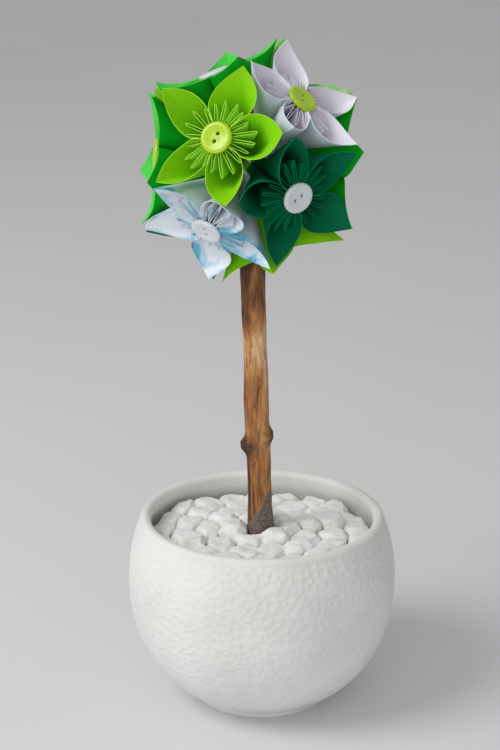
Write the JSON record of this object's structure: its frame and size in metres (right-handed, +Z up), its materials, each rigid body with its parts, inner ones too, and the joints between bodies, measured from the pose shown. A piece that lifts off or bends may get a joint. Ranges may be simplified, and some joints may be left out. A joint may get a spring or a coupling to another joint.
{
  "type": "kusudama paper ball topiary",
  "caption": "Kusudama ball of folded paper flowers with buttons, on a short branch that stands in a round relief pot filled with white stones.",
  "frame": {"origin": "centre of the pot's foot ring, on the surface that the pot stands on", "axes": "+Z up along the pot's axis; the lime flower of the ball faces -Y, a little to -X; +X is to the right in the picture"},
  "size_m": [0.139, 0.139, 0.3433],
  "materials": {
    "paper_lime": "smooth dyed paper, matte",
    "paper_white": "smooth white paper, matte",
    "paper_green": "smooth bright green paper, matte",
    "paper_dark_green": "smooth dark green paper, matte",
    "paper_blue_wash": "white paper with a teal watercolour wash",
    "paper_pale_wash": "white paper with a pale green watercolour wash",
    "button_lime": "glossy lime plastic",
    "button_white": "satin white plastic",
    "button_pearl": "glossy pearl white plastic",
    "button_brown": "glossy brown plastic",
    "branch_wood": "bare branch with rests of bark",
    "pot_ceramic": "matte white glaze over a fine raised net",
    "plaster": "set plaster, rough",
    "white_stone": "broken white marble chips"
  },
  "bodies": {
    "root": {"flower_lime_front": "paper_lime", "flower_white_upper": "paper_white", "flower_green_top": "paper_green", "flower_green_left": "paper_green", "flower_blue_wash": "paper_blue_wash", "flower_dark_green": "paper_dark_green", "flower_white_back": "paper_white", "flower_dark_green_back": "paper_dark_green", "flower_lime_bottom": "paper_lime", "flower_green_right": "paper_green", "flower_pale_wash_back": "paper_pale_wash", "flower_lime_back": "paper_lime", "button_lime_front": "button_lime", "button_white_upper": "button_lime", "button_green_top": "button_white", "button_green_left": "button_lime", "button_blue_wash": "button_pearl", "button_dark_green": "button_white", "button_white_back": "button_lime", "button_dark_green_back": "button_white", "button_lime_bottom": "button_white", "button_green_right": "button_brown", "button_pale_wash_back": "button_lime", "button_lime_back": "button_white", "branch_stem": "branch_wood", "pot": "pot_ceramic", "filler_plug": "plaster", "stones_inner": "white_stone", "stones_second": "white_stone", "stones_third": "white_stone", "stones_outer": "white_stone"}
  },
  "joints": []
}
